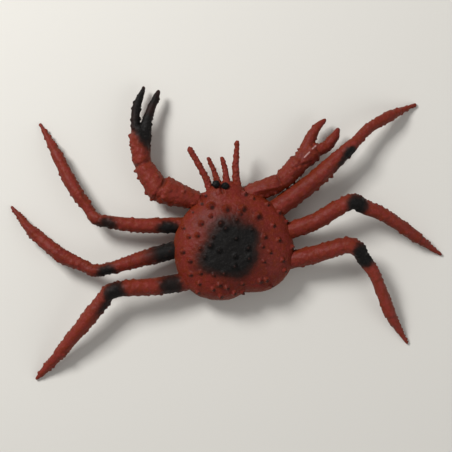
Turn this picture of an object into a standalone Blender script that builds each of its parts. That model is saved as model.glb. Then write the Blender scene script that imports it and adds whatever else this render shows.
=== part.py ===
# Toy crab of soft rubber, moulded in one piece: warty shell, two pincers, six legs, four feelers.
# The head faces -Y, the crab's left side is +X, and the flat of the belly lies on Z = 0.
import math
import random

import bmesh
import bpy
from mathutils import Matrix, Vector

MM = 0.001

# Driving dimensions in millimetres; a leg span of about 280 mm sets all the rest.
SHELL_HALF_WIDTH = 38.3
SHELL_FRONT = 35.5
SHELL_REAR = 33.3
DOME_TOP = 29.5
RIM_HEIGHT = 12.5
BELLY_DEPTH = 14.5
REAR_NOTCH_DEPTH = 2.2
REAR_NOTCH_ANGLE = 0.16
HEAD_CENTRE = (-0.6, -31.5, 15.0)
HEAD_HALF_SIZE = (14.0, 11.0, 8.6)
EYE_CENTRES = {"left_eye": (3.2, -40.9, 21.6), "right_eye": (-2.4, -38.6, 21.6)}
EYE_RADIUS = 2.8
LEG_ROOT_HEIGHT = 12.0
ANKLE_HEIGHT = 8.0
LEG_ARCH = 1.0
TOE_LIFT = 0.3
RUBBER_COLOUR = (0.135, 0.030, 0.022, 1.0)

# How finely each kind of piece is divided.
SHELL_SEGMENTS = 40
SHELL_RINGS = 18
HEAD_SEGMENTS = 18
EYE_SEGMENTS = 10
TUBE_SIDES = 8
LEG_STEPS = 21
FINGER_STEPS = 9
FEELER_STEPS = 5
SHELL_WART_SIDES = 6
LIMB_WART_SIDES = 5

# How full the shell is: 1 is an ellipse, less is squarer.
DOME_FULLNESS = 0.86
BELLY_FULLNESS = 0.62

# Raised regions of the shell: x on each side, y, width, height.
SHELL_REGIONS = ((0.0, -13.0, 12.0, 1.6), (17.0, 10.0, 11.0, 1.5), (0.0, 15.0, 7.0, 1.0))

# Warts on the shell in rows from head to tail: y of the row, then x of each, left side positive.
SHELL_WART_ROWS = (
    (-36.0, (11.5,)),
    (-31.5, (14.5, -13.0)),
    (-27.5, (21.5, 9.0, -18.0)),
    (-24.5, (0.0,)),
    (-22.0, (10.5, -10.5, -26.5)),
    (-18.5, (28.5, 16.5)),
    (-16.0, (5.0, -5.5, -18.5, -32.0)),
    (-12.0, (27.0, 21.0, 2.5)),
    (-8.5, (11.0, -13.5, -27.5, -35.5)),
    (-3.0, (31.5, 20.0, 14.0, -20.0)),
    (1.0, (8.5, -28.5)),
    (3.5, (28.0, 18.5, -17.5)),
    (7.0, (-22.0, -36.0)),
    (12.0, (30.0, 23.0, -16.5)),
    (14.5, (15.5, 9.0, -29.0)),
    (18.0, (26.0,)),
    (21.0, (13.5, -29.5)),
    (24.0, (27.5, 18.0, 8.5, -1.0, -12.0, -16.0)),
    (28.5, (5.0, -19.0)),
    (30.0, (14.0, 0.0)),
)

# Legs: root, knee, ankle and tip as x and y; knee height; how far the thigh bows to the tail
# and the shin outwards; radius at root, end of thigh, knee, shin, ankle and tip.
LEGS = {
    "left_front": {
        "points": ((23.0, -18.4), (82.0, -32.5), (100.8, -81.5), (107.6, -101.3)),
        "knee_height": 16.0, "thigh_bow": 1.6, "shin_bow": 1.8, "radii": (5.2, 3.9, 3.3, 4.0, 3.1, 0.9),
    },
    "left_middle": {
        "points": ((25.0, -5.8), (88.0, -0.6), (125.8, -34.8), (136.0, -52.0)),
        "knee_height": 16.5, "thigh_bow": -0.2, "shin_bow": 3.2, "radii": (5.9, 3.6, 3.6, 4.4, 3.4, 0.9),
    },
    "left_rear": {
        "points": ((24.0, 16.8), (79.2, 13.8), (123.8, 47.2), (141.2, 60.0)),
        "knee_height": 20.0, "thigh_bow": 1.2, "shin_bow": 0.0, "radii": (5.3, 5.0, 4.8, 4.5, 3.2, 0.9),
    },
    "right_front": {
        "points": ((-27.0, -16.0), (-85.5, -46.2), (-116.8, -63.0), (-133.4, -67.6)),
        "knee_height": 17.0, "thigh_bow": 1.8, "shin_bow": 0.0, "radii": (6.4, 5.5, 4.5, 3.8, 3.4, 1.0),
    },
    "right_middle": {
        "points": ((-28.0, -1.6), (-79.5, -13.4), (-118.0, 17.8), (-131.0, 31.0)),
        "knee_height": 21.5, "thigh_bow": 2.2, "shin_bow": 2.0, "radii": (5.4, 5.3, 4.8, 4.1, 3.4, 0.9),
    },
    "right_rear": {
        "points": ((-26.0, 15.8), (-75.5, 13.8), (-91.0, 62.5), (-98.8, 83.2)),
        "knee_height": 21.5, "thigh_bow": 0.8, "shin_bow": 1.9, "radii": (5.8, 5.7, 4.6, 3.5, 3.7, 0.9),
    },
}

# Arm pieces from shoulder to palm: start, end, start radius, end radius.
ARM_PIECES = {
    "left_upper_arm": ((10.0, -29.5, 13.0), (38.5, -42.5, 15.0), 5.6, 8.2),
    "left_forearm": ((38.3, -40.2, 15.0), (47.6, -64.5, 14.0), 8.0, 5.4),
    "left_palm": ((47.0, -60.0, 14.0), (45.2, -84.0, 12.0), 5.7, 6.3),
    "right_upper_arm": ((-12.0, -28.5, 13.0), (-40.0, -34.3, 14.0), 5.4, 5.9),
    "right_forearm": ((-36.0, -33.0, 14.0), (-54.0, -46.0, 13.0), 5.6, 6.2),
    "right_palm": ((-50.0, -43.0, 13.0), (-65.0, -52.4, 11.5), 5.6, 6.8),
}

# Where a leg changes shape: end of the thigh as a share of its outer half, then the knee's bend and
# the thin start of the shin as shares of the way to mid-shin; how thin the toe is against the ankle.
THIGH_END_SHARE = 0.7
KNEE_BEND_SHARE = 0.08
SHIN_START_SHARE = 0.4
TOE_THINNESS = 0.62

# Pincer fingers: x, y, z and radius from palm to tip.
FINGERS = {
    "left_outer_finger": (
        (47.5, -79.0, 12.0, 3.2), (46.6, -90.0, 11.0, 2.7), (43.6, -100.0, 9.6, 2.2),
        (40.2, -107.0, 8.0, 1.5), (37.0, -111.3, 6.6, 0.8),
    ),
    "left_inner_finger": (
        (42.5, -78.0, 12.0, 4.8), (39.2, -88.5, 11.5, 3.9), (34.2, -97.5, 10.6, 2.9),
        (30.2, -103.7, 9.6, 1.8), (28.4, -106.6, 9.0, 0.9),
    ),
    "right_outer_finger": (
        (-58.0, -51.0, 12.0, 5.6), (-62.5, -58.0, 11.2, 4.4), (-67.2, -63.3, 10.2, 2.4),
        (-71.0, -66.5, 9.2, 1.6), (-73.9, -68.6, 8.5, 0.9),
    ),
    "right_inner_finger": (
        (-61.5, -50.0, 12.0, 4.6), (-71.2, -51.6, 11.2, 3.6), (-75.6, -55.0, 10.8, 3.7),
        (-79.0, -58.2, 10.3, 2.7), (-80.7, -60.3, 10.0, 1.6),
    ),
}

# Feelers: x, y, z and radius from head to tip.
FEELERS = {
    "left_outer_feeler": ((7.0, -37.0, 15.5, 2.4), (9.6, -49.3, 17.5, 2.0), (15.2, -65.6, 20.5, 1.7)),
    "left_inner_feeler": ((1.6, -39.0, 16.5, 2.0), (2.9, -49.4, 17.5, 1.6), (4.8, -57.6, 19.5, 1.1)),
    "right_inner_feeler": ((-3.6, -38.5, 16.5, 2.4), (-4.3, -49.3, 17.5, 1.6), (-3.6, -56.4, 19.5, 1.1)),
    "right_outer_feeler": ((-9.4, -36.0, 15.5, 2.8), (-11.2, -48.9, 17.5, 2.1), (-15.1, -64.3, 20.5, 1.3)),
}

# Share along an arm piece and how full it is there.
BARREL_FULLNESS = ((0.0, 0.66), (0.07, 0.9), (0.2, 1.0), (0.5, 1.02), (0.8, 1.0), (0.93, 0.9), (1.0, 0.66))

# Warts on the limbs: angle round the limb from its left side, spacing along it, start.
LEG_WART_LINES = ((12.0, 13.5, 20.0), (90.0, 15.0, 25.0), (168.0, 13.5, 26.0))
ARM_WART_LINES = ((15.0, 10.0, 5.0), (90.0, 11.0, 9.0), (165.0, 10.0, 7.0))
LIMB_WART_RADIUS = 1.5
SHELL_WART_RADIUS = 2.0
WART_HEIGHT_SHARE = 1.5
WART_TIP_SHARE = 0.34
WART_RAISE_SHARE = 0.17
WART_STRAY = 0.6
WART_SIZE_RANGE = (0.8, 1.15)
WART_TURN_STRAY = 14.0
WART_SPACING_RANGE = (0.85, 1.15)
WART_SEED = 5
WIDEST_LIMB_WART = 0.42
LIMB_WART_DEPTH = 0.92
WART_EDGE_SHARE = 0.985
SURFACE_STEP = 0.02
SHARP_ANGLE = 50.0


def new_material():
    material = bpy.data.materials.new("soft maroon rubber")
    material.use_nodes = True
    shader = material.node_tree.nodes["Principled BSDF"]
    shader.inputs["Base Color"].default_value = RUBBER_COLOUR
    shader.inputs["Roughness"].default_value = 0.42
    shader.inputs["Metallic"].default_value = 0.0
    return material


def object_from_bmesh(name, shape, collection):
    mesh = bpy.data.meshes.new(name)
    shape.to_mesh(mesh)
    shape.free()
    piece = bpy.data.objects.new(name, mesh)
    collection.objects.link(piece)
    return piece


def shell_reach(azimuth):
    # Distance from the shell's middle to its edge; azimuth 0 is the head, 180 degrees the tail.
    sideways = abs(math.sin(azimuth))
    forward = math.cos(azimuth)
    length, power = (SHELL_FRONT, 2.0) if forward > 0 else (SHELL_REAR, 2.6)
    total = (sideways / SHELL_HALF_WIDTH) ** power + (abs(forward) / length) ** power
    from_tail = math.pi - abs(azimuth)
    return total ** (-1 / power) - REAR_NOTCH_DEPTH * math.exp(-((from_tail / REAR_NOTCH_ANGLE) ** 2))


def region_lift(x, y):
    lift = 0.0
    for side_x, middle_y, width, height in SHELL_REGIONS:
        distance = (abs(x) - side_x) ** 2 + (y - middle_y) ** 2
        lift += height * math.exp(-distance / width ** 2)
    return lift


def shell_point(azimuth, elevation):
    # A point of the shell in millimetres; elevation runs from -90 degrees (belly) to 90 (top).
    fullness = DOME_FULLNESS if elevation > 0 else BELLY_FULLNESS
    ring = max(math.cos(elevation), 0.0) ** fullness
    rise = abs(math.sin(elevation)) ** fullness
    x = shell_reach(azimuth) * ring * math.sin(azimuth)
    y = -shell_reach(azimuth) * ring * math.cos(azimuth)
    if elevation > 0:
        return Vector((x, y, RIM_HEIGHT + (DOME_TOP - RIM_HEIGHT + region_lift(x, y)) * rise))
    return Vector((x, y, max(RIM_HEIGHT - BELLY_DEPTH * rise, 0.0)))


def build_shell(collection):
    shape = bmesh.new()
    bmesh.ops.create_uvsphere(shape, u_segments=SHELL_SEGMENTS, v_segments=SHELL_RINGS, radius=1.0)
    for vertex in shape.verts:
        azimuth = math.atan2(vertex.co.x, -vertex.co.y)
        elevation = math.asin(max(-1.0, min(1.0, vertex.co.z)))
        vertex.co = shell_point(azimuth, elevation) * MM
    return object_from_bmesh("crab", shape, collection)


def build_ellipsoid(name, centre, half_size, segments, collection):
    shape = bmesh.new()
    bmesh.ops.create_uvsphere(shape, u_segments=segments, v_segments=segments // 2 + 2, radius=1.0)
    stretch = Matrix.Diagonal(Vector(half_size) * MM).to_4x4()
    place = Matrix.Translation(Vector(centre) * MM) @ stretch
    bmesh.ops.transform(shape, matrix=place, verts=shape.verts)
    return object_from_bmesh(name, shape, collection)


def smooth_path(stations, count):
    # Catmull-Rom curve through stations of x, y, z and radius, read at even steps.
    rows = [Vector(row) for row in stations]
    rows.insert(0, rows[0] * 2 - rows[1])
    rows.append(rows[-1] * 2 - rows[-2])
    spans = len(rows) - 3
    path = []
    for step in range(count):
        place = step / (count - 1) * spans
        span = min(int(place), spans - 1)
        t = place - span
        a, b, c, d = rows[span:span + 4]
        path.append(0.5 * (2 * b + (c - a) * t + (2 * a - 5 * b + 4 * c - d) * t ** 2
                           + (3 * b - a - 3 * c + d) * t ** 3))
    return path


def build_tube(name, path, collection):
    # A tapered tube along the path, made as a bevelled curve and turned into a welded mesh.
    curve = bpy.data.curves.new(name, "CURVE")
    curve.dimensions = "3D"
    curve.bevel_depth = MM
    curve.bevel_resolution = TUBE_SIDES // 2 - 2
    curve.use_fill_caps = True
    spline = curve.splines.new("POLY")
    spline.points.add(len(path) - 1)
    for point, row in zip(spline.points, path):
        point.co = (row[0] * MM, row[1] * MM, row[2] * MM, 1.0)
        point.radius = row[3]
    guide = bpy.data.objects.new(name + "_curve", curve)
    collection.objects.link(guide)
    mesh = bpy.data.meshes.new_from_object(guide.evaluated_get(bpy.context.evaluated_depsgraph_get()))
    shape = bmesh.new()
    shape.from_mesh(mesh)
    bmesh.ops.remove_doubles(shape, verts=shape.verts, dist=0.00001)
    bpy.data.objects.remove(guide)
    bpy.data.meshes.remove(mesh)
    return object_from_bmesh(name, shape, collection)


def leg_path(leg):
    root, knee, ankle, tip = (Vector(point) for point in leg["points"])
    shin = ankle - knee
    outward = Vector((shin.y, -shin.x)).normalized()
    if outward.dot(knee - root) < 0:
        outward = -outward
    middle = knee.lerp(ankle, 0.5) + outward * leg["shin_bow"]
    thigh = root.lerp(knee, 0.5) + Vector((0.0, leg["thigh_bow"]))
    radius = leg["radii"]
    knee_height = leg["knee_height"]
    thigh_height = (LEG_ROOT_HEIGHT + knee_height) / 2 + LEG_ARCH
    shin_height = (knee_height + ANKLE_HEIGHT) / 2 + LEG_ARCH
    stations = (
        (*root, LEG_ROOT_HEIGHT, radius[0]),
        (*thigh, thigh_height, (radius[0] + radius[1]) / 2),
        (*thigh.lerp(knee, THIGH_END_SHARE), knee_height, radius[1]),
        (*knee.lerp(middle, KNEE_BEND_SHARE), knee_height, (radius[1] + radius[2]) / 2),
        (*knee.lerp(middle, SHIN_START_SHARE), (knee_height + shin_height) / 2, radius[2]),
        (*middle, shin_height, radius[3]),
        (*ankle, ANKLE_HEIGHT, radius[4]),
        (*ankle.lerp(tip, 0.5), ANKLE_HEIGHT / 2, radius[4] * TOE_THINNESS),
        (*tip, radius[5] + TOE_LIFT, radius[5]),
    )
    return smooth_path(stations, LEG_STEPS)


def arm_piece_path(start, end, start_radius, end_radius):
    # A barrel with drawn-in ends, so that neighbours meet in a crease.
    path = []
    for share, fullness in BARREL_FULLNESS:
        centre = Vector(start).lerp(Vector(end), share)
        radius = start_radius + (end_radius - start_radius) * share
        path.append(Vector((*centre, radius * fullness)))
    return path


def build_wart(name, foot, outward, radius, sides, collection):
    # A blunt cone, a third of its height sunk in what carries it.
    height = radius * WART_HEIGHT_SHARE
    shape = bmesh.new()
    bmesh.ops.create_cone(shape, cap_ends=True, segments=sides, radius1=radius * MM,
                          radius2=radius * WART_TIP_SHARE * MM, depth=height * MM)
    turn = outward.to_track_quat("Z", "Y").to_matrix().to_4x4()
    place = Matrix.Translation((foot + outward * height * WART_RAISE_SHARE) * MM) @ turn
    bmesh.ops.transform(shape, matrix=place, verts=shape.verts)
    return object_from_bmesh(name, shape, collection)


def shell_surface(x, y):
    # Height and outward direction of the shell above a point; edge warts lean outwards.
    azimuth = math.atan2(x, -y)
    share = min(math.hypot(x, y) / shell_reach(azimuth), WART_EDGE_SHARE)
    elevation = math.acos(share ** (1 / DOME_FULLNESS))
    foot = shell_point(azimuth, elevation)
    along = shell_point(azimuth + SURFACE_STEP, elevation) - foot
    across = shell_point(azimuth, elevation + SURFACE_STEP) - foot
    outward = along.cross(across).normalized()
    if outward.z < 0:
        outward = -outward
    return foot, outward


def build_shell_warts(collection):
    draw = random.Random(WART_SEED)
    number = 0
    for row_y, offsets in SHELL_WART_ROWS:
        for offset in offsets:
            x = offset + draw.uniform(-WART_STRAY, WART_STRAY)
            y = row_y + draw.uniform(-WART_STRAY, WART_STRAY)
            foot, outward = shell_surface(x, y)
            radius = SHELL_WART_RADIUS * draw.uniform(*WART_SIZE_RANGE)
            build_wart(f"shell_wart_{number}", foot, outward, radius, SHELL_WART_SIDES, collection)
            number += 1


def build_limb_warts(name, path, lines, collection):
    draw = random.Random(name)
    for angle, spacing, start in lines:
        travelled = 0.0
        due = start
        for before, after in zip(path, path[1:]):
            step = (after - before).to_3d()
            while due <= travelled + step.length:
                share = (due - travelled) / step.length
                row = before.lerp(after, share)
                forward = step.normalized()
                side = forward.cross(Vector((0, 0, 1))).normalized()
                up = side.cross(forward)
                turn = math.radians(angle + draw.uniform(-WART_TURN_STRAY, WART_TURN_STRAY))
                outward = side * math.cos(turn) + up * math.sin(turn)
                radius = min(LIMB_WART_RADIUS, row[3] * WIDEST_LIMB_WART) * draw.uniform(*WART_SIZE_RANGE)
                foot = row.to_3d() + outward * row[3] * LIMB_WART_DEPTH
                wart_name = f"{name}_wart_{round(angle)}_{round(due)}"
                build_wart(wart_name, foot, outward, radius, LIMB_WART_SIDES, collection)
                due += spacing * draw.uniform(*WART_SPACING_RANGE)
            travelled += step.length


def fuse(base, pieces):
    # One union of everything, applied, after which the single pieces go.
    union = base.modifiers.new("fuse", "BOOLEAN")
    union.operation = "UNION"
    union.operand_type = "COLLECTION"
    union.collection = pieces
    union.solver = "EXACT"
    fused = bpy.data.meshes.new_from_object(base.evaluated_get(bpy.context.evaluated_depsgraph_get()))
    base.modifiers.remove(union)
    base.data = fused
    for piece in list(pieces.objects):
        bpy.data.objects.remove(piece)
    bpy.data.collections.remove(pieces)


def main():
    for leftover in list(bpy.data.objects):
        bpy.data.objects.remove(leftover)
    crab_collection = bpy.data.collections.new("toy_crab")
    bpy.context.scene.collection.children.link(crab_collection)
    pieces = bpy.data.collections.new("pieces_to_fuse")
    bpy.context.scene.collection.children.link(pieces)

    crab = build_shell(crab_collection)
    build_ellipsoid("head", HEAD_CENTRE, HEAD_HALF_SIZE, HEAD_SEGMENTS, pieces)
    for name, centre in EYE_CENTRES.items():
        build_ellipsoid(name, centre, (EYE_RADIUS,) * 3, EYE_SEGMENTS, pieces)
    build_shell_warts(pieces)
    for name, leg in LEGS.items():
        path = leg_path(leg)
        build_tube(name, path, pieces)
        build_limb_warts(name, path, LEG_WART_LINES, pieces)
    for name, sizes in ARM_PIECES.items():
        path = arm_piece_path(*sizes)
        build_tube(name, path, pieces)
        build_limb_warts(name, path, ARM_WART_LINES, pieces)
    for name, stations in FINGERS.items():
        build_tube(name, smooth_path(stations, FINGER_STEPS), pieces)
    for name, stations in FEELERS.items():
        build_tube(name, smooth_path(stations, FEELER_STEPS), pieces)

    fuse(crab, pieces)
    crab.data.materials.clear()
    crab.data.materials.append(new_material())
    crab.data.shade_smooth()
    crab.data.set_sharp_from_angle(angle=math.radians(SHARP_ANGLE))


main()
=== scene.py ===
import math
import random

import bmesh
import bpy
import numpy as np
from mathutils import Matrix, Vector, noise


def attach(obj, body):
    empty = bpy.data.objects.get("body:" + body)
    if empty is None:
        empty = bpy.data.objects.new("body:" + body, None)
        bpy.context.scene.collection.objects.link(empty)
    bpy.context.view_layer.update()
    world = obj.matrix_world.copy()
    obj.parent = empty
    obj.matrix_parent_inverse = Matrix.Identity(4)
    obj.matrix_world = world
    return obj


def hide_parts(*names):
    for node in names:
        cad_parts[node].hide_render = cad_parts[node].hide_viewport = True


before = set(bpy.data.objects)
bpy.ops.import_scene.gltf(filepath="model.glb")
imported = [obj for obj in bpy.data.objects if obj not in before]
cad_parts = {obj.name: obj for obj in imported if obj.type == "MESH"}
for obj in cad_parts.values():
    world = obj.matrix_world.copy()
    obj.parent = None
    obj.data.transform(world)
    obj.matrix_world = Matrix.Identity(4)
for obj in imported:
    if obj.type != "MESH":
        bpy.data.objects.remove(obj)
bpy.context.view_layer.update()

# Toy crab, moulded in one piece of soft rubber and sprayed with black by hand.
# Pieces are shaped in millimetres and turned to metres when they are finished.
# The head faces -Y, the crab's left side is +X, and the belly lies on Z = 0.
mm = 0.001


def addNode(tree, kind, settings=None, links=None):
    # Settings are the node's own fields (lower case) or its inputs; links run from an output to an input.
    node = tree.nodes.new(kind)
    for name, value in (settings or {}).items():
        if isinstance(name, str) and hasattr(node, name):
            setattr(node, name, value)
        else:
            node.inputs[name].default_value = value
    for name, source in (links or {}).items():
        tree.links.new(source, node.inputs[name])
    return node


def linearColour(text):
    # sRGB hex to the linear colour that the shaders work in
    parts = [int(text[place:place + 2], 16) / 255 for place in (1, 3, 5)]
    linear = [part / 12.92 if part <= 0.04045 else ((part + 0.055) / 1.055) ** 2.4 for part in parts]
    return (*linear, 1.0)


# Materials

# Sizes and depths are in millimetres. A range says where a noise starts and ends to show,
# then how weak and how strong it is there.
rubberLook = {
    "maroon": "#6F231C",        # the pigment as moulded
    "maroonDull": "#601E18",    # slow drift of the pigment
    "thinRubber": "#803128",    # painted light: some limbs painted brighter, standing in for the light they catch
    "warmRubberAndSideLight": "#6A2600",    # browner rubber in random mottles, and the painted warm light and shade on the flanks
    "paintedGlint": "#8B4036",         # painted highlights: light catching the crests of the grain
    "duskAndShade": "#36170F",          # a darker tone: painted shade in creases and behind warts, the tips of warts and teeth, and a thin veil of spray
    "seamGlint": "#A98480",        # a painted highlight: the glint along the seam ridge on the right palm
    "black": "#100E0D",         # sprayed lacquer, and the dark of the painted shade behind warts
    "dust": "#2B2927",          # dried droplets on the black
    "driftSize": 11.0, "driftRange": (0.35, 0.65),
    "mottleSize": 2.8, "mottleRange": (0.42, 0.65, 0.0, 0.55),
    "glintAndDustSize": 0.9, "paintedGlintRange": (0.52, 0.75, 0.0, 0.5), "dustRange": (0.55, 0.75, 0.0, 0.7),
    "dropletSize": 0.7, "dropletRange": (0.5, 1.0, 0.0, 0.175),
    "veilAndShadeRange": (0.0, 0.55), "coverAndShadeRange": (0.2, 0.85),
    "paintedSideLightTint": 0.85, "thornTint": 0.22, "creaseShadeTint": 0.4,
    "grainSize": 1.0, "grainRoughness": 0.6, "grainDepth": 0.3, "grainStrength": 0.7,
    "roughness": 0.5, "paintRoughness": 0.62, "sheenRange": (0.3, 0.7, -0.06, 0.06),
    "ior": 1.52, "gloss": 0.13,
}
lacquerLook = {
    "dark": "#080808", "pale": "#131211", "roughness": 0.6, "gloss": 0.14,
    "wrinkleSize": 1.4, "wrinkleDepth": 0.2, "wrinkleStrength": 0.6,
}


def newMaterial(name):
    material = bpy.data.materials.new(name)
    material.use_nodes = True
    return material, material.node_tree, material.node_tree.nodes["Principled BSDF"]


def sprayedRubber(look):
    # Satin moulded rubber: an even, slightly greasy sheen over a fine leathery grain.
    # The black is airbrushed on top, so it ends in a soft edge of droplets; the same mask also carries the
    # painted shade behind the warts.
    material, tree, shader = newMaterial("sprayedSoftRubber")
    place = addNode(tree, "ShaderNodeTexCoord").outputs["Object"]

    def noiseMask(size, detail, low=0.0, high=1.0, least=0.0, most=1.0, roughness=0.5):
        waves = addNode(tree, "ShaderNodeTexNoise", {"Scale": 1 / (size * mm), "Detail": detail,
                                                     "Roughness": roughness}, {"Vector": place})
        return addNode(tree, "ShaderNodeMapRange",
                       {"From Min": low, "From Max": high, "To Min": least, "To Max": most},
                       {"Value": waves.outputs["Fac"]}).outputs["Result"]

    def meshMask(name, strength=1.0):
        stored = addNode(tree, "ShaderNodeAttribute", {"attribute_name": name})
        return addNode(tree, "ShaderNodeMath", {"operation": "MULTIPLY", 1: strength},
                       {0: stored.outputs["Fac"]}).outputs[0]

    droplets = noiseMask(look["dropletSize"], 2, *look["dropletRange"])
    sprayAndWartShade = addNode(tree, "ShaderNodeMath", {"operation": "ADD"}, {0: meshMask("sprayAndWartShade"), 1: droplets})
    veilAndShade, coverAndShade = (
        addNode(tree, "ShaderNodeMapRange", {"From Min": low, "From Max": high},
                {"Value": sprayAndWartShade.outputs[0]}).outputs["Result"]
        for low, high in (look["veilAndShadeRange"], look["coverAndShadeRange"]))
    layers = (
        (noiseMask(look["driftSize"], 3, *look["driftRange"]), "maroonDull"),
        # painted light: brighter limbs
        (meshMask("thin"), "thinRubber"),
        (noiseMask(look["mottleSize"], 4, *look["mottleRange"]), "warmRubberAndSideLight"),
        # painted light and shade: flanks browner and darker the less they face up
        (meshMask("paintedSideLight", look["paintedSideLightTint"]), "warmRubberAndSideLight"),
        # painted highlight: small glints on the crests of the grain
        (noiseMask(look["glintAndDustSize"], 2, *look["paintedGlintRange"]), "paintedGlint"),
        (meshMask("thorn", look["thornTint"]), "duskAndShade"),
        # painted shade: creases and hollows darkened
        (meshMask("creaseShade", look["creaseShadeTint"]), "duskAndShade"),
        # painted highlight: the glint along the palm's seam ridge
        (meshMask("pale"), "seamGlint"),
        # thin spray, and the soft edge of the painted shade behind warts
        (veilAndShade, "duskAndShade"),
    )
    colour = None
    for mask, over in layers:
        mix = addNode(tree, "ShaderNodeMix", {"data_type": "RGBA", 6: linearColour(look["maroon"]),
                                              7: linearColour(look[over])}, {"Factor": mask})
        if colour:
            tree.links.new(colour, mix.inputs[6])
        colour = mix.outputs[2]
    lacquerTone = addNode(tree, "ShaderNodeMix", {"data_type": "RGBA", 6: linearColour(look["black"]),
                                                  7: linearColour(look["dust"])},
                          {"Factor": noiseMask(look["glintAndDustSize"], 3, *look["dustRange"])})
    coated = addNode(tree, "ShaderNodeMix", {"data_type": "RGBA"},
                     {"Factor": coverAndShade, 6: colour, 7: lacquerTone.outputs[2]})
    tree.links.new(coated.outputs[2], shader.inputs["Base Color"])

    dry = addNode(tree, "ShaderNodeMapRange",
                  {"To Min": look["roughness"], "To Max": look["paintRoughness"]}, {"Value": coverAndShade})
    sheen = addNode(tree, "ShaderNodeMath", {"operation": "ADD"},
                    {0: dry.outputs["Result"], 1: noiseMask(look["mottleSize"], 3, *look["sheenRange"])})
    tree.links.new(sheen.outputs[0], shader.inputs["Roughness"])
    shader.inputs["IOR"].default_value = look["ior"]
    shader.inputs["Specular IOR Level"].default_value = look["gloss"]

    grain = addNode(tree, "ShaderNodeMath", {"operation": "ADD"},
                    {0: noiseMask(look["grainSize"], 3, roughness=look["grainRoughness"]),
                     1: noiseMask(look["mottleSize"], 2)})
    bump = addNode(tree, "ShaderNodeBump",
                   {"Strength": look["grainStrength"], "Distance": look["grainDepth"] * mm},
                   {"Height": grain.outputs[0]})
    tree.links.new(bump.outputs["Normal"], shader.inputs["Normal"])
    return material


def eyeLacquer(look):
    # Thick black lacquer brushed over the moulded bead, slightly wrinkled.
    material, tree, shader = newMaterial("brushedBlackLacquer")
    place = addNode(tree, "ShaderNodeTexCoord").outputs["Object"]
    waves = addNode(tree, "ShaderNodeTexNoise",
                    {"Scale": 1 / (look["wrinkleSize"] * mm), "Detail": 3.0}, {"Vector": place})
    tone = addNode(tree, "ShaderNodeMix", {"data_type": "RGBA", 6: linearColour(look["dark"]),
                                           7: linearColour(look["pale"])}, {"Factor": waves.outputs["Fac"]})
    bump = addNode(tree, "ShaderNodeBump",
                   {"Strength": look["wrinkleStrength"], "Distance": look["wrinkleDepth"] * mm},
                   {"Height": waves.outputs["Fac"]})
    tree.links.new(tone.outputs[2], shader.inputs["Base Color"])
    tree.links.new(bump.outputs["Normal"], shader.inputs["Normal"])
    shader.inputs["Roughness"].default_value = look["roughness"]
    shader.inputs["Specular IOR Level"].default_value = look["gloss"]
    return material


rubber = sprayedRubber(rubberLook)
lacquer = eyeLacquer(lacquerLook)
print("materials made")


# Geometry Nodes trees

def startTree(name, sockets):
    tree = bpy.data.node_groups.new(name, "GeometryNodeTree")
    tree.interface.new_socket("Geometry", in_out="INPUT", socket_type="NodeSocketGeometry")
    for label, kind in sockets.items():
        tree.interface.new_socket(label, in_out="INPUT", socket_type="NodeSocket" + kind)
    tree.interface.new_socket("Material", in_out="INPUT", socket_type="NodeSocketMaterial")
    tree.interface.new_socket("Geometry", in_out="OUTPUT", socket_type="NodeSocketGeometry")
    return tree, addNode(tree, "NodeGroupInput").outputs


def pushOut(tree, given, amount):
    # Moves the skin along its normals and ends the tree.
    offset = addNode(tree, "ShaderNodeVectorMath", {"operation": "SCALE"},
                     {0: addNode(tree, "GeometryNodeInputNormal").outputs["Normal"], "Scale": amount})
    moved = addNode(tree, "GeometryNodeSetPosition",
                    links={"Geometry": given["Geometry"], "Offset": offset.outputs["Vector"]})
    real = addNode(tree, "GeometryNodeRealizeInstances", links={"Geometry": moved.outputs["Geometry"]})
    painted = addNode(tree, "GeometryNodeSetMaterial",
                      links={"Geometry": real.outputs["Geometry"], "Material": given["Material"]})
    addNode(tree, "NodeGroupOutput", links={"Geometry": painted.outputs["Geometry"]})


mostSpots = 1.5         # to a square millimetre, before their spacing thins them
coneSharpness = 1.5


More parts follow.
